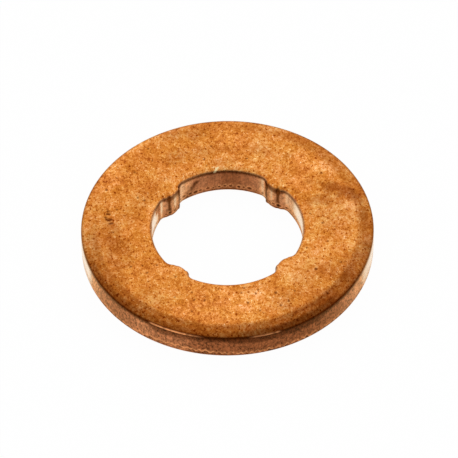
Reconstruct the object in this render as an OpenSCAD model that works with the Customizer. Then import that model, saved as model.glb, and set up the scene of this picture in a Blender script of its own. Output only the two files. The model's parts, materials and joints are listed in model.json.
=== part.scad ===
// Stamped copper sealing washer for a fuel injector.
// The ring is blanked and pierced in one stroke, so both edges roll over on the
// upper face and break off square at the lower one. Short tabs in the bore centre
// the ring on the injector's nozzle. The origin is the centre of the lower face.

/* [Ring] */
// Diameter over the outer rim
outer_d = 15; // [11:0.1:24]
// Thickness of the sheet that the ring is stamped from
thickness = 1.5; // [1:0.1:3]
// Diameter of the bore between the tabs
bore_d = 7.8; // [7.3:0.1:9]

/* [Centring tabs] */
// Number of tabs round the bore
tab_count = 4; // [2:1:8]
// Diameter of the circle that the tab tips touch
tabs_d = 7.05; // [6.4:0.05:7.5]
// Radius of a tab's rounded tip, seen from above
tab_tip_r = 1.0; // [0.6:0.1:2]
// Radius of the fillet where a tab grows out of the bore
tab_root_r = 0.45; // [0.3:0.05:1]

/* [Stamped edges] */
// Width of the shallow shoulder between the flat upper face and the rim
shoulder_w = 0.7; // [0.4:0.05:1]
// Slope of the shoulder where it meets the rim's rounding
shoulder_angle = 10; // [5:1:20]
// Radius of the rim's rounding
rim_edge_r = 0.22; // [0.1:0.01:0.3]
// Radius of the rounding round the bore and its tabs
bore_edge_r = 0.27; // [0.1:0.01:0.4]
// Height of the rough zone where the sheet broke instead of being cut
break_h = 0.4; // [0.2:0.05:0.6]
// Distance by which the broken zone falls back behind the cut wall
break_step = 0.02; // [0.01:0.01:0.05]

/* [Hidden] */
$fn = 96;
outer_r = outer_d / 2;
bore_r = bore_d / 2;
// First tab's direction, halfway between the X and Y axes
tab_start = 45;
// Length by which a cutter runs past the faces that it cuts
overshoot = 0.5;
// Length of a tab that is buried in the ring
buried = 0.8;
// The root cutter is this much too large, so that its wall crosses the walls of
// the tip and the bore instead of only touching them
bite = 0.002;

// The shoulder is an arc that leaves the upper face without a crease
shoulder_r = (shoulder_w - rim_edge_r * (1 - sin(shoulder_angle))) / sin(shoulder_angle);
shoulder_x = outer_r - shoulder_w;
rim_arc_x = outer_r - rim_edge_r;
rim_arc_z = thickness - shoulder_r * (1 - cos(shoulder_angle)) - rim_edge_r * cos(shoulder_angle);
rim_joint_x = rim_arc_x + rim_edge_r * sin(shoulder_angle);

// Seen from above, a tab is a tip arc that flows into a root arc on each side, and
// those flow into the bore. Its own X axis runs outwards along its centre line.
tip_x = tabs_d / 2 + tab_tip_r;
root_reach = bore_r - tab_root_r;
arcs_apart = tab_tip_r + tab_root_r;
root_x = (tip_x ^ 2 + root_reach ^ 2 - arcs_apart ^ 2) / (2 * tip_x);
root_y = sqrt(root_reach ^ 2 - root_x ^ 2);
// Where the root arc meets the tip arc, where it meets the bore, and where the tab
// ends inside the ring
tip_joint = [tip_x, 0] + ([root_x, root_y] - [tip_x, 0]) * tab_tip_r / arcs_apart;
bore_joint = [root_x, root_y] * bore_r / root_reach;
buried_joint = [root_x, root_y] * (bore_r + buried) / root_reach;
web_side = [tip_joint, bore_joint, buried_joint];
web_outline = concat(
    [[tip_x, 0]],
    web_side,
    [for (i = [2 : -1 : 0]) [web_side[i].x, -web_side[i].y]]
);

// A point turned round the Z axis
function turned(point, angle) = [
    point.x * cos(angle) - point.y * sin(angle),
    point.x * sin(angle) + point.y * cos(angle)
];

// Half section of the blank before it is pierced
module blank_section() {
    difference() {
        square([outer_r, thickness]);
        // The shoulder
        difference() {
            translate([shoulder_x, thickness / 2])
                square([shoulder_w + overshoot, thickness]);
            translate([shoulder_x, thickness - shoulder_r])
                circle(shoulder_r, $fn = 720);
        }
        // The rim's rounding
        difference() {
            translate([rim_joint_x, rim_arc_z])
                square([rim_edge_r + overshoot, thickness]);
            translate([rim_arc_x, rim_arc_z])
                circle(rim_edge_r);
        }
        // The broken zone
        polygon([
            [outer_r, break_h],
            [outer_r - break_step, 0],
            [outer_r - break_step, -overshoot],
            [outer_r + overshoot, -overshoot],
            [outer_r + overshoot, break_h]
        ]);
    }
}

// Round cutter for an inner wall of radius r: it widens into the upper edge's
// rounding, and into the broken zone at the bottom
module wall_cutter(r) {
    rotate_extrude() {
        translate([0, -overshoot])
            square([r, thickness + 2 * overshoot]);
        difference() {
            translate([0, thickness - bore_edge_r])
                square([r + bore_edge_r, bore_edge_r + overshoot]);
            translate([r + bore_edge_r, thickness - bore_edge_r])
                circle(bore_edge_r);
        }
        polygon([[0, break_h], [r, break_h], [r + break_step, 0], [r + break_step, -overshoot], [0, -overshoot]]);
    }
}

// Round stud with an outer wall of radius r and the same two edges
module wall_stud(r) {
    rotate_extrude() {
        polygon([[0, 0], [r - break_step, 0], [r, break_h], [0, break_h]]);
        translate([0, break_h])
            square([r, thickness - bore_edge_r - break_h]);
        square([r - bore_edge_r, thickness]);
        translate([r - bore_edge_r, thickness - bore_edge_r])
            intersection() {
                circle(bore_edge_r);
                square(bore_edge_r);
            }
    }
}

// One tab, rooted in the ring, in a direction round the Z axis
module tab(direction) {
    difference() {
        union() {
            translate(turned([tip_x, 0], direction))
                wall_stud(tab_tip_r);
            linear_extrude(thickness)
                polygon([for (point = web_outline) turned(point, direction)]);
        }
        for (side = [-1, 1])
            translate(turned([root_x, side * root_y], direction))
                wall_cutter(tab_root_r + bite);
    }
}

module washer() {
    color([0.80, 0.50, 0.26]) {
        difference() {
            rotate_extrude()
                blank_section();
            wall_cutter(bore_r);
        }
        for (i = [0 : tab_count - 1])
            tab(tab_start + i * 360 / tab_count);
    }
}

washer();
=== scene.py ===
# %% [markdown]
# # A stamped copper washer
#
# This lesson dresses one small part: a copper sealing ring with four short tabs in its bore.
# On the real object everything is one piece of sheet, blanked and pierced by one stroke of a press.
# The press leaves four kinds of surface, and telling them apart is what makes the picture believable:
# a flat face, edges that roll over, smooth walls that the punch has cut, and a rough zone where the
# sheet broke.
#
# The part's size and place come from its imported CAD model, so nothing here moves or resizes it.
# Blender's lengths are in metres. The shape and the grain are worked out in millimetres, and directions
# round the ring are counted from the X axis towards the Y axis.

# %% Load the frame
import json
import math

import bpy
import numpy as np
from mathutils import Matrix, Vector, noise


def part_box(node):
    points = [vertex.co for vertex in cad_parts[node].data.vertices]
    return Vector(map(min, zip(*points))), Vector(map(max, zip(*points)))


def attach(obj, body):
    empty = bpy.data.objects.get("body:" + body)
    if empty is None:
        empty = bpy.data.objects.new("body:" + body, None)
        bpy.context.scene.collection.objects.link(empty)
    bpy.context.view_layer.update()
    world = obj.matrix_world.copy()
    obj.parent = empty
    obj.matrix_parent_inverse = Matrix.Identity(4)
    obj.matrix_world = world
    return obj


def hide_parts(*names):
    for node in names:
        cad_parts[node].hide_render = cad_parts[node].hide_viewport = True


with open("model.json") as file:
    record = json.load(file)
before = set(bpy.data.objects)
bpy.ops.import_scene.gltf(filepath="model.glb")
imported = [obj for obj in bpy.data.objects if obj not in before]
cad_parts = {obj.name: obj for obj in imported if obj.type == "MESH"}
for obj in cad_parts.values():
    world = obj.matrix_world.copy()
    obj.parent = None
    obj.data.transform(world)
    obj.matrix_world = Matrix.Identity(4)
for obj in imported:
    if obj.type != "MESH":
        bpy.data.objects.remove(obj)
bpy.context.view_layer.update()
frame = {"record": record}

MM = 0.001
low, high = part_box("washer")
rim_mount = next(mount for mount in frame["record"]["mounts"] if mount["name"] == "rim")
outer_r = rim_mount["dims"]["r_mm"]
thickness = round((high.z - low.z) / MM, 3)
print(f"washer: {2 * outer_r} mm over the rim, {thickness} mm thick")

# %% [markdown]
# ## The outline of the bore
#
# Seen from above, the bore is a circle with four tabs standing in it. A tab is a round tip that
# flows into a hollow root on each side, and the roots flow into the bore. It could be drawn as a
# curve with handles, but three circles describe it exactly: for any angle, the outline is where a
# ray from the centre meets the circle of the bore, of a root or of a tip. The direction from there
# into the metal comes from the same circle, and it is needed later to round the edge evenly.
#
# The bore's radius is read from the photo, and is 0.03 mm smaller than in the CAD model. The sizes of
# the tabs are those of the CAD model.

# %% Bore and tabs from above
bore_r = 3.87
tabs_r = 3.525
tip_r = 1.0
root_r = 0.45
tab_count = 4
first_tab = math.radians(45)
tab_pitch = 2 * math.pi / tab_count

tip_x = tabs_r + tip_r
root_reach = bore_r - root_r
root_x = (tip_x**2 + root_reach**2 - (tip_r + root_r) ** 2) / (2 * tip_x)
root_y = math.sqrt(root_reach**2 - root_x**2)
root_ends = math.atan2(root_y, root_x)
tip_ends = math.atan2(root_y * tip_r, tip_x * root_r + root_x * tip_r)


def bore_outline(angles):
    """Points of the bore's outline at these angles, and the directions from there into the metal."""
    turn = (angles - first_tab + tab_pitch / 2) % tab_pitch - tab_pitch / 2
    side, turn = np.where(turn < 0, -1, 1), np.abs(turn)
    ray = np.stack([np.cos(turn), np.sin(turn)], axis=-1)
    to_tip = ray[:, 0] * tip_x
    to_root = ray @ [root_x, root_y]
    on_tip = to_tip - np.sqrt(np.maximum(to_tip**2 - tip_x**2 + tip_r**2, 0))
    on_root = to_root + np.sqrt(np.maximum(to_root**2 - root_reach**2 + root_r**2, 0))
    is_tip, is_bore = turn < tip_ends, turn > root_ends
    reach = np.where(is_tip, on_tip, np.where(is_bore, bore_r, on_root))
    point = ray * reach[:, None]
    inward = (point - [root_x, root_y]) / root_r
    inward[is_tip] = ([tip_x, 0] - point[is_tip]) / tip_r
    inward[is_bore] = ray[is_bore]
    heading = angles - side * turn
    across = np.stack([np.cos(heading), np.sin(heading)], axis=-1)
    along = np.stack([-np.sin(heading), np.cos(heading)], axis=-1) * side[:, None]
    return [across * v[:, :1] + along * v[:, 1:] for v in (point, inward)]


columns = 850
angles = np.arange(columns) * 2 * math.pi / columns
degrees = np.degrees(angles)
rim_way = np.stack([np.cos(angles), np.sin(angles)], axis=-1)
bore_point, bore_way = bore_outline(angles)
reach = np.hypot(*bore_point.T)
print(f"bore: {columns} columns, {reach.min():.3f} to {reach.max():.3f} mm from the centre")

# %% [markdown]
# ## Ragged lines and uneven skins
#
# The line at which the sheet stops being cut and starts to break is never straight. A ragged line
# round a ring has to meet itself, so it is made of waves that fit a whole number of times into the turn.
# Small unevenness over a surface comes from noise in space, which needs no such care. And what changes
# slowly round the ring, such as how much the rim has tarnished, is a smooth line through a few values.

# %% Helpers for chance
def ragged(longest, shortest, seed):
    """A line round the ring that goes up and down by about 1, with waves between two lengths in mm."""
    first, last = (round(2 * math.pi * outer_r / length) for length in (longest, shortest))
    rng = np.random.default_rng(seed)
    waves = np.arange(first, last + 1)
    starts = rng.uniform(0, 2 * math.pi, len(waves))
    sizes = rng.uniform(0.5, 1, len(waves)) / np.sqrt(len(waves))
    return (np.cos(np.outer(angles, waves) + starts) * sizes).sum(axis=1)


def bumpy(points, size, seed):
    """Smooth noise from -1 to 1 at these points, with lumps of this size in mm."""
    shifted = np.asarray(points) / size + seed * 17.3
    return np.array([noise.noise(p) for p in shifted.reshape(-1, 3)]).reshape(shifted.shape[:-1])


def soft(value, start, end):
    """0 before the start, 1 past the end and a smooth rise between them."""
    share = np.clip((value - start) / (end - start), 0, 1)
    return share * share * (3 - 2 * share)


def round_ring(values):
    """A smooth line round the ring through values given at directions in degrees."""
    at = np.array(sorted(values))
    height = np.array([values[a] for a in at])
    step = np.searchsorted(at, degrees, side="right")
    before, after = at[step - 1], at[step % len(at)]
    share = (degrees - before) % 360 / ((after - before) % 360)
    return height[step - 1] + (height[step % len(at)] - height[step - 1]) * soft(share, 0, 1)


print(f"helpers ready, for {2 * math.pi * outer_r:.1f} mm round the rim")

# %% [markdown]
# ## A groove and a corner on each tab
#
# What the punch's outline has, the whole wall below it has. Each tab has a groove on the side that is
# turned away from the Y axis, and a sharp corner that stands out on the other side. Both are upright, so
# they are the same in every row, and it is enough to push the bore's outline in and out.

# %% Grooves and corners
groove_turn, groove_depth = 5.6, 0.02
corner_turn, corner_height = 6.3, 0.045
half_width = 2.1  # in degrees, of a groove and of a corner

tab_turn = np.degrees((angles - first_tab + tab_pitch / 2) % tab_pitch - tab_pitch / 2)
on_tab = 1 - soft(np.abs(tab_turn), 7, 10)
groove_shape = 1 - soft(np.abs(np.abs(tab_turn) - groove_turn) / half_width, 0.2, 1.0)
corner_shape = 1 - soft(np.abs(np.abs(tab_turn) - corner_turn) / half_width, 0.3, 1.0)
outer_side = (tab_turn < 0) == (np.sin(2 * angles) > 0)
groove = np.where(outer_side, groove_shape, corner_shape)  # 1 in the middle of a groove or a corner
shove = np.where(outer_side, groove_depth, -corner_height) * groove
bore_point = bore_point + bore_way * shove[:, None]
print(f"tabs: grooves {groove_depth} mm deep, corners {corner_height} mm high")

# %% [markdown]
# ## The section, row by row
#
# The mesh is a grid: one column for each direction round the ring, and rows that run once round the
# metal's section. Each row follows either the rim or the bore, so an edge is rounded by moving a few
# rows along an arc. A revolved curve could not do this, because the bore isn't round.
# Every row also notes which kind of surface it lies on, for the material to read.

# %% Start the rows
rows = []
zones = {name: [] for name in ("wall", "broken")}


def add_row(plan, height, **belongs):
    """One closed row: where it lies in plan, how high, and how far it belongs to each zone."""
    rows.append(np.column_stack([plan, np.broadcast_to(height, columns)]))
    for name in zones:
        zones[name].append(np.broadcast_to(belongs.get(name, 0.0), columns).astype(float))


def rim_row(inset, height, **belongs):
    """A row that follows the rim, this far inside it."""
    add_row(rim_way * (outer_r - np.broadcast_to(inset, columns))[:, None], height, **belongs)


def bore_row(depth, height, **belongs):
    """A row that follows the bore's outline, this far into the metal."""
    add_row(bore_point + bore_way * np.broadcast_to(depth, columns)[:, None], height, **belongs)


fall_back = 0.012  # mm by which the walls lie deeper at the lower face
for share in np.linspace(0, 1, 7):
    inner = bore_point + bore_way * fall_back
    outer = rim_way * (outer_r - fall_back)
    add_row(inner + (outer - inner) * share, 0.0)
print(f"lower face: {len(rows)} rows")

# %% [markdown]
# ## Cut and broken walls
#
# The punch shears the sheet cleanly for most of its thickness and leaves a burnished wall. The last
# third tears. Its border is a ragged line, and below it the metal lies a hair deeper and is rough.
# The rows of the broken zone end exactly on that line, which keeps it crisp with few faces. Between the
# last of them and the first row of the cut wall lies a narrow ledge.

# %% Walls
torn_lump = 0.13
ledge_inset, ledge_height = 0.004, 0.015
rim_rows_end = 1.24  # height of the cut wall's last row, just under the rim's rounding


def broken_rows(border, follow, along, seed, count, upwards):
    """The torn zone from the lower face to its ragged border, or the other way down."""
    for share in np.linspace(0, 1, count + 2)[1:-1][:: 1 if upwards else -1]:
        rough = bumpy(np.column_stack([along, border * share]), torn_lump, seed)
        hollow = math.sin(math.pi * min(1.0, 2.4 * (1 - share)) / 2)
        follow(fall_back * hollow * (1 + rough), border * share, wall=1, broken=1)


rim_broken_h = round_ring({
    0: 0.34, 60: 0.42, 120: 0.40, 180: 0.3, 222: 0.12, 238: 0.24, 246: 0.3, 254: 0.25, 264: 0.2,
    275: 0.13, 305: 0.13,
})
rim_break = rim_broken_h + 0.02 * ragged(6, 1.5, 1) + 0.08 * ragged(0.75, 0.27, 2)
bore_break = 0.36 + 0.03 * ragged(9, 2, 3) + 0.05 * ragged(1.4, 0.45, 4)

broken_rows(rim_break, rim_row, rim_way * outer_r, 5, 10, upwards=True)
rim_row(ledge_inset, rim_break, wall=1, broken=1)
for share in np.linspace(0, 1, 14):
    foot = rim_break + ledge_height
    rim_row(0.0, foot + (rim_rows_end - foot) * share**0.8, wall=1)
print(f"rim: broken zone {rim_break.min():.2f} to {rim_break.max():.2f} mm high")

# %% [markdown]
# ## Rolled edge and shoulder
#
# Where the punch enters, it drags the metal down before it cuts. At the rim that makes a broad, shallow
# shoulder. Its slope jumps up where the press stopped flattening the face, stays nearly even, and grows
# again before a small rounding. A line of slopes is easier to judge from a picture than a line of
# heights, so the slopes are what is given, and adding them up makes the heights.
# Where something has scraped along the rounding, it has been pushed back out into a sharp, upright lip.
# The same strengths later place a painted highlight on the lip.

# %% Shoulder
rim_edge_r = 0.12
lip_ridge = round_ring({
    232: 0, 236: 0.7, 240: 1, 247: 1, 251: 0.4, 257: 0, 273: 0, 277: 0.4, 283: 0.45, 288: 0,
})
steepest = 30
slope_from_face = {0.0: 0, 0.09: 7.5, 0.5: 9.5, 0.62: 14, 0.74: steepest}  # degrees, by mm from the face
shoulder_w = max(slope_from_face) + rim_edge_r * (1 - math.sin(math.radians(steepest)))
run = np.linspace(0, max(slope_from_face), 200)
slope = np.radians(np.interp(run, list(slope_from_face), list(slope_from_face.values())))
drop = np.concatenate([[0], np.cumsum(np.tan((slope[1:] + slope[:-1]) / 2) * np.diff(run))])
rim_wall_top = thickness - drop[-1] - rim_edge_r * math.cos(slope[-1])

for turn in np.linspace(math.pi / 2, slope[-1], 8):
    lean = (turn - slope[-1]) / (math.pi / 2 - slope[-1])
    inset = rim_edge_r * (1 - math.sin(turn)) * (1 - lip_ridge * soft(lean, 0.2, 0.5))
    rim_row(inset, rim_wall_top + rim_edge_r * math.cos(turn), wall=soft(lean, 0.3, 1))
for at in np.linspace(run[-1], 0, 15)[1:]:
    rim_row(shoulder_w - at, thickness - np.interp(at, run, drop))
print(f"shoulder: falls {drop[-1]:.3f} mm, and the rim's wall ends at {rim_wall_top:.3f} mm")

# %% [markdown]
# ## Face and bore
#
# The face is flat, and its rows pass evenly from a circle to the outline of the bore. The rounding of
# the bore and its tabs is larger than the rim's and has no shoulder. Like the rim's, it is read from the
# photo and differs from the CAD model's by a few hundredths of a millimetre. Below it come the cut wall
# and the broken zone again, from the top down, and the last row meets the first one.

# %% Face and bore
bore_edge_r = 0.3
face_rows = 32
for share in np.linspace(0, 1, face_rows + 2)[1:-1]:
    outer = rim_way * (outer_r - shoulder_w)
    inner = bore_point + bore_way * bore_edge_r
    add_row(outer + (inner - outer) * share, thickness)
for tilt in np.linspace(0, math.pi / 2, 10):
    lean = tilt / (math.pi / 2)
    depth = bore_edge_r * (1 - math.sin(tilt))
    bore_row(depth, thickness - bore_edge_r * (1 - math.cos(tilt)), wall=soft(lean, 0.4, 1))
for share in np.linspace(0, 1, 9)[1:]:
    top = thickness - bore_edge_r
    bore_row(0.0, top + (bore_break + ledge_height - top) * share**1.3, wall=1)
bore_row(ledge_inset, bore_break, wall=1, broken=1)
broken_rows(bore_break, bore_row, bore_point, 7, 9, upwards=False)
print(f"section: {len(rows)} rows, so {2 * len(rows) * columns} triangles")

# %% [markdown]
# ## Soft patches
#
# No two places on a used washer look alike: it has darker stains, and paler places where it was rubbed.
# Each is a soft patch with an uneven border, which comes from adding noise to the distance from its
# middle. A painted image could hold the same, but numbers on the mesh need no image file, and a patch
# is moved by changing one line.

# %% Helpers for patches
skin = np.stack(rows)
upper = soft(skin[..., 2], 1.0, 1.25)
warp = 0.5 * bumpy(skin, 0.7, 11) + 0.35 * bumpy(skin, 0.25, 12)


def patch(x, y, length, width, turn, strength):
    """A soft patch on the upper side, with its long way turned from the X axis by some degrees."""
    way = math.radians(turn)
    dx, dy = skin[..., 0] - x, skin[..., 1] - y
    along = (dx * math.cos(way) + dy * math.sin(way)) / (length / 2)
    across = (dy * math.cos(way) - dx * math.sin(way)) / (width / 2)
    away = np.hypot(along, across) + warp
    return strength * upper * (1 - soft(away, 0.35, 1.35))


def patches(*places):
    """Several patches as one layer, in which they don't add up past 1."""
    clear = np.ones(skin.shape[:2])
    for place in places:
        clear = clear * (1 - patch(*place))
    return 1 - clear


def tell(name):
    """Says how strong a layer is and how much of the mesh it covers."""
    layer = layers[name]
    print(f"{name}: up to {layer.max():.2f}, on {np.mean(layer > 0.2):.1%} of the points")


layers = {}
print(f"upper side: {np.mean(upper > 0.5):.0%} of {upper.size} points")

# %% [markdown]
# ## Stains and painted shade
#
# The strongest stains lie at the right, near the rim. The others are faint, and the long thin ones are
# turned so that they follow the rim. Each is placed by comparing a render with the photo.

# %% Stains and painted shade
# The long thin patches along the front of the rim are painted shade on the shoulder; the others are
# stains.
# x, y, length, width, turn and strength of each
layers["stain_and_shade"] = patches(
    (5.7, 2.1, 2.1, 0.8, -25, 0.9),
    (6.75, 1.5, 1.1, 0.8, -30, 0.8),
    (7.1, 0.2, 1.8, 0.5, 90, 0.6),
    (6.95, -2.1, 2.6, 0.55, 74, 0.6),
    (4.8, -3.3, 1.4, 0.9, 40, 0.3),
    (2.5, -5.3, 1.8, 1.2, 20, 0.25),
    (-2.2, 5.0, 1.7, 1.0, 30, 0.35),
    (-1.0, 6.5, 1.8, 1.0, 10, 0.4),
    (0.0, 5.4, 1.6, 0.6, 0, 0.25),
    (-5.6, -1.2, 3.0, 1.3, 100, 0.4),
    (3.5, 4.6, 0.7, 0.5, 0, 0.35),
    (5.6, 5.1, 2.2, 0.4, -46, 0.4),
    (5.6, 0.1, 3.4, 2.4, 90, 0.22),
    (3.9, -3.9, 3.4, 2.2, 45, 0.22),
    (4.3, -5.15, 2.2, 0.6, 40, 0.4),
    (2.8, -5.95, 1.6, 0.9, 25, 0.4),
    (0.95, -6.95, 1.6, 0.4, 8, 0.35),
    (5.55, -3.5, 2.6, 0.7, 58, 0.45),
    (-5.9, -2.4, 2.8, 0.8, 112, 0.4),
    (5.0, 1.4, 2.2, 1.0, 10, 0.5),
    (6.8, -2.3, 1.6, 0.9, 75, 0.3),
    (6.0, -3.7, 1.6, 0.9, 60, 0.3),
    (7.0, -0.4, 2.8, 0.7, 90, 0.3),
    (-2.3, 6.6, 1.8, 1.0, 15, 0.35),
    (-1.0, 5.2, 1.2, 0.9, 0, 0.3),
    (0.2, 4.45, 1.4, 0.5, 0, 0.25),
    (-6.3, 0.0, 3.2, 1.6, 90, 0.4),
    (-4.3, 2.0, 3.4, 1.3, 55, 0.25),
    (2.3, 5.0, 1.5, 1.0, -20, 0.3),
    (-4.4, -4.5, 2.0, 1.2, -45, 0.28),
)
tell("stain_and_shade")

# %% [markdown]
# ## Rubbed metal and painted highlights
#
# Rubbing has left pale patches on the face. The pale lines along the upper edge of the bore and along
# the far side of the rim's shoulder are painted highlights, kept in the same layer. The lines follow the
# ring, so they come from the distance to an outline and from a strength for each direction, instead of
# from many small patches.

# %% Rubbed metal and painted highlights
layers["rubbed_and_highlit"] = patches(
    (4.5, 3.95, 2.8, 0.9, -44, 1.0),
    (0.6, 6.0, 1.6, 1.1, 0, 0.9),
    (0.4, 6.9, 1.6, 0.6, 0, 0.5),
    (6.1, 0.9, 1.6, 0.6, 10, 0.3),
    (6.0, -0.9, 1.9, 1.3, 80, 0.45),
    (4.7, -1.9, 1.6, 1.3, 60, 0.4),
    (3.1, -3.3, 1.5, 1.1, 45, 0.3),
    (4.0, 2.6, 1.5, 1.0, -50, 0.9),
    (4.6, 4.0, 1.8, 1.3, -45, 0.8),
    (0.8, 5.8, 1.2, 0.9, 0, 0.6),
    (-1.6, -5.0, 2.4, 2.2, 0, 0.7),
    (-1.1, -5.2, 1.6, 1.1, 0, 0.8),
    (-2.25, -6.15, 1.7, 0.6, -20, 0.8),
    (-3.5, -2.7, 1.8, 0.8, -55, 0.5),
    (-5.9, 3.8, 1.8, 1.4, 60, 0.95),
    (-0.2, -5.4, 4.2, 2.3, 0, 1.0),
    (-5.3, 3.8, 1.8, 1.5, 45, 0.3),
    (-5.0, 5.1, 3.0, 0.6, 45, 0.4),
)
out = np.hypot(skin[..., 0], skin[..., 1])
# Painted highlights: a pale line on the upper edge of the bore's rounding and on the far side of the
# rim's shoulder.
bore_edge_highlight = round_ring({62: 0, 78: 0.3, 104: 0.37, 145: 0.37, 160: 0.62, 172: 0.37, 190: 0})
rim_far_highlight = round_ring({20: 0, 40: 0.35, 90: 0.5, 140: 0.5, 170: 0.2, 190: 0})
painted_bore_highlight = bore_edge_highlight * (1 - soft(out - reach, 0.28, 0.42)) * soft(skin[..., 2], 1.4, 1.46)
painted_rim_highlight = rim_far_highlight * upper * soft(out + 0.05 * warp, 7.08, 7.2)
layers["rubbed_and_highlit"] = 1 - (1 - layers["rubbed_and_highlit"]) * (1 - painted_bore_highlight) * (1 - painted_rim_highlight)
tell("rubbed_and_highlit")

# %% [markdown]
# ## Painted shade round the ring
#
# The side of the ring that is turned to the camera is painted dark on its shoulder and wall, as painted
# shade, while the metal to the left and right of it is painted bright, as a painted reflection of the
# white floor. So are the tips of the tabs, and the bore's wall round them is painted in light and dark
# columns. The painted shade is therefore a line of strengths round the rim, round the bore and round the
# shoulder. On the shoulder it fades out towards the face along an uneven border.

# %% Painted shade by direction
rim_wall_shade = round_ring({
    0: 0.15, 20: 0.35, 50: 0.6, 130: 0.6, 165: 0.35, 175: 0.15, 182: 0.0, 194: 0.0, 200: 0.4,
    208: 0.66, 217: 0.8, 231: 0.65, 239: 0.78, 247: 0.74, 252: 0.95, 256: 1.0, 298: 1.0, 312: 0.9,
    320: 0.66, 328: 0.45, 336: 0.1, 344: 0.0, 352: 0.05,
})
bore_wall_shade = round_ring({
    0: 0.2, 3: 0.0, 16: 0.0, 20: 0.07, 26: 0.33, 33: 0.3, 36: 0.6, 42: 0.6, 45: 0.28, 49: 0.55,
    52: 0.6, 54: 0.42, 57: 0.28, 62: 0.7, 68: 0.88, 80: 1.0, 88: 1.0, 93: 0.86, 98: 0.9, 104: 0.75,
    110: 0.78, 116: 0.5, 121: 0.36, 124: 0.28, 129: 0.52, 132: 0.4, 135: 0.22, 138: 0.5, 144: 0.6,
    147: 0.15, 150: 0.7, 154: 0.1, 158: 0.0, 168: 0.0, 174: 0.55, 180: 0.3, 270: 0.5, 340: 0.3,
})
shoulder_shade = round_ring({
    10: 0.34, 30: 0.34, 45: 0.4, 70: 0.25, 90: 0.15, 130: 0.0, 170: 0.15, 185: 0.45, 200: 0.52,
    225: 0.66, 250: 0.62, 280: 0.66, 300: 0.82, 312: 0.85, 318: 0.75, 326: 0.78, 334: 0.55, 350: 0.42,
})
print(f"mean tarnish: rim {rim_wall_shade.mean():.2f}, shoulder {shoulder_shade.mean():.2f}")

# %% [markdown]
# ## Painted shade on the mesh
#
# A wall is painted darker at its foot, as painted shade where it stands on the floor. At the left of the
# bore there is also a dark patch just under the edge. Both are laid over the lines from above. Where two
# dark layers meet, they make 1 minus the product of what each leaves clear, which never passes 1.

# %% Painted shade
height = skin[..., 2]
outside = soft(out, 5.6, 5.7)
fade = soft(out + 0.12 * warp, 6.55, 6.85)
on_wall = np.stack(zones["wall"])
inside_foot_shade = round_ring({
    0: 0.42, 47: 0.42, 52: 0.0, 57: 0.0, 62: 0.42, 118: 0.42, 122: 0.0, 127: 0.0, 131: 0.42,
    143: 0.42, 149: 0.15, 158: 0.25, 175: 0.42,
})
# Painted shade at the foot of each wall.
wall_foot_shade = np.where(outside > 0.5, 0.15, inside_foot_shade) * (1 - soft(height, 0.15, 0.65))
dark_turn, dark_width = 153.5, 4.5
at_dark = 1 - soft(np.abs(degrees - dark_turn) / dark_width, 0.6, 1.0)
dark_patch = 0.55 * at_dark * soft(height, 0.86, 0.95)
wall_shade = np.where(outside > 0.5, rim_wall_shade, bore_wall_shade)
wall_shade = 1 - (1 - wall_shade) * (1 - wall_foot_shade) * (1 - dark_patch * (1 - outside))
layers["painted_shade"] = on_wall * wall_shade + (1 - on_wall) * upper * fade * shoulder_shade
layers["inside"] = on_wall * (1 - outside)
tell("painted_shade")

# %% [markdown]
# ## Painted shade in the corners
#
# Painted shade darkens a line under each rounding, the grooves of the tabs, and the outer part of the
# shoulder, most of all on the side turned to the camera. On the front of the rim the line runs down the
# wall as a soft shade.

# %% Painted shade at the rim
# Painted shade: a dark line under the rim's rounding, strongest on the side turned to the camera.
rim_shade_strength = round_ring({0: 0.6, 90: 0.6, 180: 0.6, 196: 0.9, 206: 1.0, 322: 1.0, 340: 0.6})
rim_shade_foot = round_ring({
    90: 1.08, 230: 1.08, 238: 0.82, 247: 0.87, 254: 1.02, 264: 1.0, 270: 0.88, 280: 0.82, 302: 0.82,
    310: 1.08,
})
rim_shade_line = 0.7 * soft(height, rim_shade_foot - 0.1, rim_shade_foot + 0.15) + 0.3 * soft(height, 1.1, 1.25)
rim_edge_shade = rim_shade_strength * rim_shade_line * (1 - soft(height, 1.33, 1.42))
# Painted shade on the outer part of the shoulder.
outer_shoulder_shade_strength = round_ring({
    186: 0.0, 198: 0.5, 222: 0.5, 230: 0.3, 238: 0.35, 246: 0.4, 254: 0.2, 264: 0.3, 274: 0.65,
    286: 0.8, 302: 0.7, 310: 0.6, 318: 0.05, 326: 0,
})
outer_shoulder_shade = outer_shoulder_shade_strength * upper * (1 - on_wall) * soft(out + 0.06 * warp, 7.05, 7.28)
print(f"dirt on the shoulder: up to {outer_shoulder_shade.max():.2f}")

# %% [markdown]
# ## Shade and dirt in the bore
#
# The painted shade under the bore's edge reaches lower on the tabs, and lower still in their grooves and
# corners, which are also painted dark all the way down. It ends on the rounding, whose upper part
# carries a painted highlight. At the back of the bore something has left a slanting smudge: a patch
# whose middle shifts sideways as it goes down the wall. Painted shade also darkens the foot of every
# wall, and all of it shares one layer with the smudge.

# %% Shade and dirt in the bore
# Painted shade: a dark line under the bore's edge, strongest at the back of the bore, which faces the
# camera.
bore_shade_strength = round_ring({
    0: 0.4, 12: 0.45, 20: 0.6, 40: 0.85, 110: 0.85, 150: 0.75, 160: 0.45, 168: 0.3, 270: 0.5,
})
at_right_tab = 1 - soft(np.abs(degrees - 46), 5, 9)
bore_shade_low = 1.25 - 0.11 * on_tab - np.where(outer_side, 0.08, 0.2) * groove
bore_top = 1.36 + 0.045 * groove * outer_side + 0.025 * at_right_tab
bore_edge_shade = bore_shade_strength * soft(height, bore_shade_low - 0.05, bore_shade_low + 0.05)
bore_edge_shade = bore_edge_shade * (1 - soft(height + 0.03 * warp, bore_top, bore_top + 0.07))
bore_edge_shade = bore_edge_shade * (1 - soft(out - reach, 0.2, 0.3))
smudge_middle = 113 + np.minimum((0.7 - height) * 13, 2.6)
smudge_width = 3.6 + 3.0 * (1 - soft(height, 0.4, 0.8))
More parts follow.
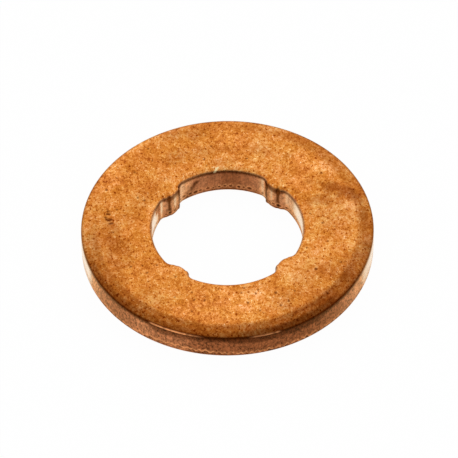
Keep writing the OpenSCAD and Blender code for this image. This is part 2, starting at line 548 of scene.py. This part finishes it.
smudge = 1 - soft(np.abs(degrees - smudge_middle) / smudge_width + 1.2 * warp, 0.4, 1.1)
smudge = smudge * (0.8 + 0.2 * soft(height, 0.5, 0.8)) * (1 - soft(height, 1.0, 1.15))
# Painted shade along the foot of every wall.
foot_shade = np.where(outside > 0.5, 0.2, 0.6) * (1 - soft(height, 0.05, 0.13))
# Painted shade in the tabs' grooves and corners, and a real smudge.
inside_shade_and_smudge = bore_edge_shade + on_wall * (0.9 * smudge + 0.95 * groove)
dirt_and_shade = np.where(outside > 0.5, np.maximum(rim_edge_shade, outer_shoulder_shade), inside_shade_and_smudge)
layers["dirt_and_shade"] = np.clip(np.maximum(dirt_and_shade, foot_shade), 0, 1) * (height > 0.001)
tell("dirt_and_shade")

# %% [markdown]
# ## Dents and pits in the mesh
#
# Washers are tumbled in a drum to clear their burrs, and come out with a skin of shallow dents. The
# larger ones belong in the mesh, because they catch the light from every side. Pits are cut deeper,
# and noted in a layer so that the material can darken them. The first pits are listed, most of them in a
# cluster at the left, and the rest fall by chance.

# %% Dents and pits
broad_dent, small_dent = 0.0025, 0.0015
pit_depth = 0.02
chance_pits = 45
flat = upper * (1 - on_wall)
tumbled = broad_dent * (1 + bumpy(skin, 1.2, 6)) + small_dent * (1 + bumpy(skin, 0.3, 8))
# x, y and radius of each
pit_places = [
    (-6.01, 1.57, 0.09), (-6.06, 1.37, 0.1), (-5.97, 1.36, 0.1), (-6.17, 1.15, 0.08),
    (-6.15, 1.02, 0.08), (-6.07, 0.97, 0.12), (-5.98, 0.96, 0.13), (-5.9, 0.98, 0.11),
    (-5.97, 0.71, 0.1), (-5.86, 0.73, 0.09), (4.25, -3.33, 0.1), (2.06, -4.76, 0.1),
    (1.19, -4.48, 0.08), (0.6, -5.31, 0.09), (2.24, -5.63, 0.08), (3.03, -4.71, 0.07),
    (2.67, -5.36, 0.08), (-0.8, 4.7, 0.07),
]
rng = np.random.default_rng(21)
for _ in range(chance_pits):
    way, far = rng.uniform(0, 2 * math.pi), rng.uniform(4.3, 7.1)
    pit_places.append((far * math.cos(way), far * math.sin(way), rng.uniform(0.04, 0.08)))
pitted = np.zeros(skin.shape[:2])
for x, y, size in pit_places:
    away = np.hypot(skin[..., 0] - x, skin[..., 1] - y) / size
    pitted = np.maximum(pitted, flat * (1 - soft(away, 0.3, 1.2)))
skin[..., 2] -= flat * tumbled + pit_depth * pitted
print(f"dents: up to {(flat * tumbled).max() * 1000:.0f} micrometres deep, {len(pit_places)} pits")

# %% [markdown]
# ## Torn holes round the bore
#
# The broken zone of the bore is torn into a row of small holes, with a paler border round each. They
# stand at nearly even distances, so each is a spot at an even step that chance has shifted and resized.
# The lower part of each tab is speckled more finely, which needs no single spots.

# %% Torn holes
hole_step, hole_depth = 4.8, 0.012
hole_width, hole_height = 1.9, 0.1  # half sizes, in degrees round the bore and in mm upwards
torn_out = np.zeros(skin.shape[:2])
hole_border = np.zeros(skin.shape[:2])
rng = np.random.default_rng(22)
for way in np.arange(0, 360, hole_step):
    middle, up = way + rng.uniform(-1.2, 1.2), 0.25 + rng.uniform(-0.04, 0.04)
    size = rng.uniform(0.5, 1.25)
    sideways = ((degrees - middle + 180) % 360 - 180) / (hole_width * size)
    away = np.hypot(sideways, (height - up) / (hole_height * size)) + 0.5 * warp
    torn_out = np.maximum(torn_out, layers["inside"] * (1 - soft(away, 0.5, 1.0)))
    border = 1 - soft(np.abs(away - 1.15), 0.1, 0.35)
    hole_border = np.maximum(hole_border, layers["inside"] * border)
skin[..., :2] += (bore_way * hole_depth) * torn_out[..., None]
low_on_tab = layers["inside"] * on_tab * (1 - soft(height, 0.45, 0.85))
speckled = low_on_tab * soft(bumpy(skin, 0.09, 15), 0.05, 0.3)
layers["pitted"] = np.maximum(pitted, np.maximum(0.8 * torn_out, 0.7 * speckled))
tell("pitted")

# %% [markdown]
# ## A bright nick, a highlit lip and a torn ledge
#
# Bare copper shows where the metal has been torn: on the ragged line where the broken zone starts, and a
# little round the torn holes. The same pale copper on a lip at the top of the front wall is a painted
# highlight. A slanting nick in the bore's edge, at the back, is brighter and has a layer of its own.

# %% Bare copper and a painted highlight
nick_x, nick_y, nick_edge_y = -0.2, 4.04, 4.0
across_nick = (skin[..., 0] - nick_x) * 0.77 - (skin[..., 1] - nick_y) * 0.64
nick = 1 - soft(np.abs(across_nick) / 0.07, 0.4, 1.0)
nick = nick * soft(height, 1.3, 1.36) * (1 - soft(np.abs(skin[..., 1] - nick_edge_y) / 0.14, 0.8, 1.0))
layers["nick"] = nick
lip = soft(height, 1.24, 1.27) * (1 - soft(height, 1.32, 1.345))
# The lip's pale colour is a painted highlight.
lip_highlight = np.clip(lip_ridge * (1 + 0.4 * ragged(1.2, 0.3, 41)), 0, 1)
torn = round_ring({60: 0.3, 180: 0.4, 222: 0.7, 230: 1, 258: 1, 266: 0.7, 280: 0.6, 305: 0.6, 320: 0.2})
torn = np.clip(torn * (0.85 + 0.4 * ragged(3, 0.6, 31) + 0.6 * ragged(0.5, 0.2, 33)), 0, 1)
break_line = np.where(outside > 0.5, rim_break, bore_break)
on_line = 1 - soft(np.abs(height - break_line) / 0.03, 0.2, 1.0)
ledge = on_line * on_wall * torn * np.where(outside > 0.5, 1, 0.4)
layers["bare_and_highlit"] = np.clip(lip * outside * lip_highlight + ledge + 0.35 * hole_border, 0, 1)
tell("bare_and_highlit")

# %% [markdown]
# ## From rows to a piece
#
# Joining each row to the next, and the last to the first, gives a closed skin. The zones and layers are
# stored on the mesh as attributes, one number for each point. Shading is smooth, except where two faces
# meet at more than 50 degrees. The piece rides on the CAD body and stands for the CAD solid.

# %% Build the washer
ring = np.arange(len(rows) * columns).reshape(len(rows), columns)
next_row = np.roll(ring, -1, axis=0)
faces = np.stack([ring, next_row, np.roll(next_row, -1, axis=1), np.roll(ring, -1, axis=1)], axis=-1)
mesh = bpy.data.meshes.new("stamped_ring")
mesh.from_pydata((skin.reshape(-1, 3) * MM).tolist(), [], faces.reshape(-1, 4).tolist())
layers.update({name: np.stack(values) for name, values in zones.items()})
for name, values in layers.items():
    attribute = mesh.attributes.new(name, "FLOAT", "POINT")
    attribute.data.foreach_set("value", values.ravel().astype(np.float32))
mesh.shade_smooth()
mesh.set_sharp_from_angle(angle=math.radians(50))
washer = bpy.data.objects.new("stamped_ring", mesh)
bpy.context.scene.collection.objects.link(washer)
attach(washer, "root")
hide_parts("washer")
print(f"washer: {len(mesh.vertices)} points, {len(mesh.polygons)} faces, layers {', '.join(layers)}")

# %% [markdown]
# ## Tools for the finishes
#
# Materials here are built from nodes in code. One helper adds a node and connects it, and a few more
# name what is done over and over: picking a colour, reading a layer, making grain, and laying a tint
# over what is there. A tint multiplies, so the grain below it still shows. Some sockets share a name, so
# those are picked by number. In a Mix node for colours, 6 and 7 are the two inputs and 2 is the result.
# In a Map Range node, 1 and 2 are the limits of what comes in, and 3 and 4 of what goes out.

# %% Node helpers
def node(tree, kind, inputs=None, **settings):
    """Adds one node. An input given as a socket is linked, and any other value is set."""
    made = tree.nodes.new("ShaderNode" + kind)
    for name, value in settings.items():
        setattr(made, name, value)
    for name, value in (inputs or {}).items():
        if isinstance(value, bpy.types.NodeSocket):
            tree.links.new(value, made.inputs[name])
        else:
            made.inputs[name].default_value = value
    return made


def tone(red, green, blue):
    """A colour as picked on a screen, from 0 to 255, in the linear values that shaders work with."""
    shares = [v / 255 for v in (red, green, blue)]
    return [s / 12.92 if s <= 0.04045 else ((s + 0.055) / 1.055) ** 2.4 for s in shares] + [1.0]


def grey(level):
    """An even grey in linear values. 1 is white, and a tint of more than 1 brightens."""
    return (level, level, level, 1.0)


def new_tree(owner):
    """The empty node tree of a material or a world."""
    owner.use_nodes = True
    owner.node_tree.nodes.clear()
    return owner.node_tree


copper = bpy.data.materials.new("rubbed_copper")
tree = new_tree(copper)


def maths(operation, first, second):
    return node(tree, "Math", {0: first, 1: second}, operation=operation).outputs[0]


def paint(amount, under, over, blend="MIX"):
    """One colour laid over another by an amount from 0 to 1."""
    inputs = {0: amount, 6: under, 7: over}
    return node(tree, "Mix", inputs, data_type="RGBA", blend_type=blend).outputs[2]


def tint(amount, under, red, green, blue):
    """A colour multiplied by a tint, by an amount from 0 to 1."""
    return paint(amount, under, (red, green, blue, 1.0), "MULTIPLY")


def layer_of(name):
    """A layer that the mesh carries."""
    return node(tree, "Attribute", attribute_name=name).outputs["Fac"]


def grain(where, size, start, end, detail=2.0, roughness=0.5):
    """Noise with lumps of this size in mm, stretched so that start becomes 0 and end becomes 1."""
    inputs = {"Vector": where, "Scale": 1 / size, "Detail": detail, "Roughness": roughness}
    lumps = node(tree, "TexNoise", inputs).outputs["Fac"]
    return node(tree, "MapRange", {0: lumps, 1: start, 2: end}).outputs[0]


def shades(amount, stops):
    """A colour for each amount, read off a ramp through colours given at positions from 0 to 1."""
    made = node(tree, "ValToRGB", {"Fac": amount})
    while len(made.color_ramp.elements) < len(stops):
        made.color_ramp.elements.new(0.5)
    for element, (position, colour) in zip(made.color_ramp.elements, stops.items()):
        element.position = position
        element.color = tone(*colour)
    return made.outputs["Color"]


print("brown of the front wall in linear values:", [round(v, 3) for v in tone(133, 78, 47)[:3]])

# %% [markdown]
# ## The face
#
# Rubbed copper is mottled at every scale, from specks of a twentieth of a millimetre to clouds of more
# than one. Two noises share the work: faint clouds, and stronger crumbs with several finer octaves. A
# colour ramp turns their sum into brown hollows, orange metal and pale crests. A third noise, the blush,
# shifts the hue a little from place to place. Dark specks go on top, and so do small glints, which are
# painted highlights.
#
# The finer grain is a little longer one way than the other, as on sheet that has been rolled. A Mapping
# node that scales X and Y differently does this: a larger scale makes smaller lumps.

# %% Face colour
place = node(tree, "TexCoord").outputs["Object"]


def squeezed(x, y, z):
    """The place on the part in mm, so that lumps come out this much smaller along each axis."""
    scale = (1000 * x, 1000 * y, 1000 * z)
    return node(tree, "Mapping", {"Vector": place, "Scale": scale}).outputs["Vector"]


in_mm = squeezed(1, 1, 1)
rolled = squeezed(1.2, 0.93, 1)
clouds = grain(in_mm, 2.8, 0.33, 0.67, detail=1.0, roughness=0.9)
crumbs = grain(rolled, 0.27, 0.32, 0.68, detail=3.0, roughness=1.0)
blush = grain(in_mm, 0.6, 0.35, 0.65, detail=1.0)
cloud_share = 0.28
mottle = maths("MULTIPLY", crumbs, 1 - cloud_share)
mottle = maths("ADD", maths("MULTIPLY", clouds, cloud_share), mottle)
specks = grain(rolled, 0.15, 0.4, 0.29, detail=1.0)
painted_glints = grain(rolled, 0.09, 0.63, 0.72, detail=1.0)
face = shades(mottle, {0.0: (140, 51, 0), 0.5: (215, 131, 46), 1.0: (251, 196, 118)})
face = tint(blush, face, 1.01, 0.97, 1.14)
face = tint(specks, face, 0.5, 0.25, 0.01)
# Painted highlights: small glints brighten the colour.
face = tint(painted_glints, face, 1.3, 1.7, 2.8)
# Pale rubbed patches, and painted highlights along the bore's edge and the rim's far side.
face = tint(layer_of("rubbed_and_highlit"), face, 1.2, 1.33, 1.8)
# Stains, and painted shade along the front of the shoulder.
face = tint(layer_of("stain_and_shade"), face, 0.54, 0.39, 0.3)
# Painted shade on the shoulder, darkest on the side turned to the camera.
face = tint(layer_of("painted_shade"), face, 0.38, 0.245, 0.17)
print(f"face: {len(tree.nodes)} nodes so far")

# %% [markdown]
# ## The walls
#
# The punch draws fine upright scratches down the cut wall. They come from noise that is drawn out to
# about seventeen times its width, and the finer grain is drawn out a little too. The broken zone is torn
# metal, paler on its crests and dark in its holes. Where the painted shade is low, the wall is smooth
# and painted pale, as a painted reflection of the white floor. The painted shade turns it through orange
# to brown and roughens it, so the same layer picks the colour and decides how far the grain shows. The
# layer of dirt and painted shade roughens the wall as well. Inside the bore the grain is fainter.

# %% Wall colour
streaks = grain(squeezed(1, 1, 0.06), 0.07, 0.3, 0.7)
fine = grain(squeezed(1.1, 1.1, 0.8), 0.16, 0.33, 0.67, detail=2.0, roughness=1.0)
painted_shade = layer_of("painted_shade")
calm = maths("SUBTRACT", 1.0, maths("MULTIPLY", layer_of("inside"), 0.4))
shaded_share = node(tree, "MapRange", {0: painted_shade, 2: 0.4}).outputs[0]
grain_share = maths("MULTIPLY", shaded_share, calm)
dulled = maths("MAXIMUM", shaded_share, layer_of("dirt_and_shade"))
polished = maths("MULTIPLY", layer_of("wall"), maths("SUBTRACT", 1.0, dulled))
# The ramp paints a reflection of the white floor at 0, and painted shade towards 1.
cut = shades(painted_shade, {
    0.0: (255, 224, 186),
    0.2: (238, 198, 154),
    0.4: (222, 158, 107),
    0.7: (184, 118, 77),
    1.0: (143, 83, 48),
})
cut = tint(maths("MULTIPLY", streaks, grain_share), cut, 0.8, 0.78, 0.76)
rough_skin = paint(fine, grey(1.75), (0.29, 0.27, 0.25, 1.0))
cut = paint(grain_share, cut, rough_skin, "MULTIPLY")
holes = grain(in_mm, 0.16, 0.48, 0.35, detail=2.0)
torn_metal = tint(fine, cut, 1.06, 1.08, 1.04)
torn_metal = tint(maths("MULTIPLY", holes, calm), torn_metal, 0.5, 0.34, 0.26)
walls = paint(layer_of("broken"), cut, torn_metal)
print(f"walls: {len(tree.nodes)} nodes so far")

# %% [markdown]
# ## One skin
#
# The layers decide where each finish shows. Pits, and the layer of dirt and painted shade, darken what
# is there, and bare copper, with the painted highlight on the lip, goes on last. The grain also drives
# the bump and the roughness, so that what looks like a crest catches the light like one. Polished wall
# is smoother, and mirrors white at a grazing angle. Elsewhere a warm specular tint keeps the skin
# coppery there.

# %% Copper
skin_colour = paint(layer_of("wall"), face, walls)
skin_colour = tint(layer_of("pitted"), skin_colour, 0.25, 0.13, 0.04)
# Painted shade under the roundings, on the outer shoulder, in the tabs' grooves and at the feet, with a
# real smudge in the bore.
skin_colour = tint(layer_of("dirt_and_shade"), skin_colour, 0.21, 0.12, 0.045)
# Bare copper on the torn ledge and round the holes, and a painted highlight on the lip.
skin_colour = paint(layer_of("bare_and_highlit"), skin_colour, tone(250, 168, 108))
skin_colour = paint(layer_of("nick"), skin_colour, tone(255, 228, 170))
relief = maths("ADD", maths("MULTIPLY", mottle, 0.6), maths("MULTIPLY", fine, 0.4))
relief_depth = 0.02 * MM
bump = node(tree, "Bump", {"Height": relief, "Strength": 0.6, "Distance": relief_depth})
dull_low, dull_crest, polish_gain = 0.42, 0.34, 0.16
dullness = node(tree, "MapRange", {0: fine, 3: dull_low, 4: dull_crest}).outputs[0]
dullness = maths("SUBTRACT", dullness, maths("MULTIPLY", polished, polish_gain))
edge_tint = paint(polished, (1.0, 0.82, 0.6, 1.0), grey(1.0))
settings = {"Base Color": skin_colour, "Metallic": 1.0, "Specular Tint": edge_tint}
settings.update({"Roughness": dullness, "Normal": bump.outputs["Normal"]})
shader = node(tree, "BsdfPrincipled", settings)
node(tree, "OutputMaterial", {"Surface": shader.outputs["BSDF"]})
mesh.materials.append(copper)
print(f"copper: {len(tree.nodes)} nodes")

# %% [markdown]
# ## Camera
#
# The photograph was taken with a long lens from well above, so the ring keeps nearly the same width in
# front and behind. The camera stands on a ray from the origin, given by its turn round the ring and its
# lift over the floor, and is rolled by half a degree. A small lens shift frames the part without tilting
# it. All these numbers come from fitting the outlines of the rim and the bore to those in the photo.

# %% Camera
camera_turn = math.radians(265.55)
camera_lift = math.radians(48.186)
camera_roll = math.radians(0.562)
camera_far = 0.40648
frame_px = 458
shift_px = (1.464, 16.495)


def direction(turn, lift):
    """The direction at a turn round the Z axis and a lift over the floor."""
    return Vector((math.cos(lift) * math.cos(turn), math.cos(lift) * math.sin(turn), math.sin(lift)))


back = direction(camera_turn, camera_lift)
level = Vector((-math.sin(camera_turn), math.cos(camera_turn), 0))
rise = back.cross(level)
right = level * math.cos(camera_roll) - rise * math.sin(camera_roll)
up = level * math.sin(camera_roll) + rise * math.cos(camera_roll)
camera = bpy.data.objects.new("camera", bpy.data.cameras.new("camera"))
bpy.context.scene.collection.objects.link(camera)
facing_part = Matrix((right, up, back)).transposed().to_4x4()
camera.matrix_world = Matrix.Translation(back * camera_far) @ facing_part
camera.data.sensor_width = 36
camera.data.lens = 622.2
camera.data.shift_x = shift_px[0] / frame_px
camera.data.shift_y = shift_px[1] / frame_px
camera.data.clip_start = 0.01
camera.data.clip_end = 20
bpy.context.scene.camera = camera
print(f"camera: {camera_far * 1000:.0f} mm away, lens {camera.data.lens} mm")

# %% [markdown]
# ## The white floor
#
# Small metal parts are photographed on white. The floor is a matt surface that takes the shadow, and a
# plain white glow is laid over it by the kind of ray that sees it. A ray that the metal sends out sees
# only the glow. A ray from the camera sees nearly all of it, and a little of the shadow through it.

# %% Floor
floor_mesh = bpy.data.meshes.new("floor")
half = 1.5
corners = [(-half, -half, 0), (half, -half, 0), (half, half, 0), (-half, half, 0)]
floor_mesh.from_pydata(corners, [], [(0, 1, 2, 3)])
floor = bpy.data.objects.new("floor", floor_mesh)
bpy.context.scene.collection.objects.link(floor)

paper = bpy.data.materials.new("white_paper")
tree = new_tree(paper)
rays = node(tree, "LightPath").outputs
glow_for_camera = 0.97
for_metal = maths("MAXIMUM", rays["Is Glossy Ray"], rays["Is Transmission Ray"])
for_camera = maths("MULTIPLY", rays["Is Camera Ray"], glow_for_camera)
share = maths("MAXIMUM", for_camera, for_metal)
matt = node(tree, "BsdfDiffuse", {"Color": grey(0.92)}).outputs[0]
glow = node(tree, "Emission").outputs[0]
surface = node(tree, "MixShader", {0: share, 1: matt, 2: glow}).outputs[0]
node(tree, "OutputMaterial", {"Surface": surface})
floor_mesh.materials.append(paper)
print(f"floor: {2 * half} m square")

# %% [markdown]
# ## The light tent
#
# Metal looks like what it reflects. A light tent has white walls. Its roof is dimmer, and so is its
# front wall, which has a dark opening in front of the camera. The roof dulls the shoulder that leans
# towards the camera, and the opening draws the dark line along the rolled edge. A world that depends
# only on the direction does all of this with no lamps, and its light is soft from every side.

# %% World
world = bpy.data.worlds.new("light_tent")
bpy.context.scene.world = world
tree = new_tree(world)
looking = node(tree, "TexCoord").outputs["Generated"]


def facing(towards, wide, narrow):
    """0 in directions that are wide of this one, in degrees, and 1 in those that are near it."""
    dot = node(tree, "VectorMath", {0: looking, 1: towards}, operation="DOT_PRODUCT").outputs["Value"]
    limits = {0: dot, 1: math.cos(math.radians(wide)), 2: math.cos(math.radians(narrow))}
    return node(tree, "MapRange", limits, interpolation_type="SMOOTHSTEP").outputs[0]


opening_lift = math.radians(4)
light = paint(facing((0, 0, 1), 37, 16), grey(1.15), grey(0.8))
light = paint(facing(direction(camera_turn, 0), 70, 35), light, grey(0.6))
light = paint(facing(direction(camera_turn, opening_lift), 42, 18), light, grey(0.1))
sky = node(tree, "Background", {"Color": light}).outputs[0]
node(tree, "OutputWorld", {"Surface": sky})
bpy.context.scene.view_settings.view_transform = "Standard"
print(f"light tent: {len(tree.nodes)} nodes")
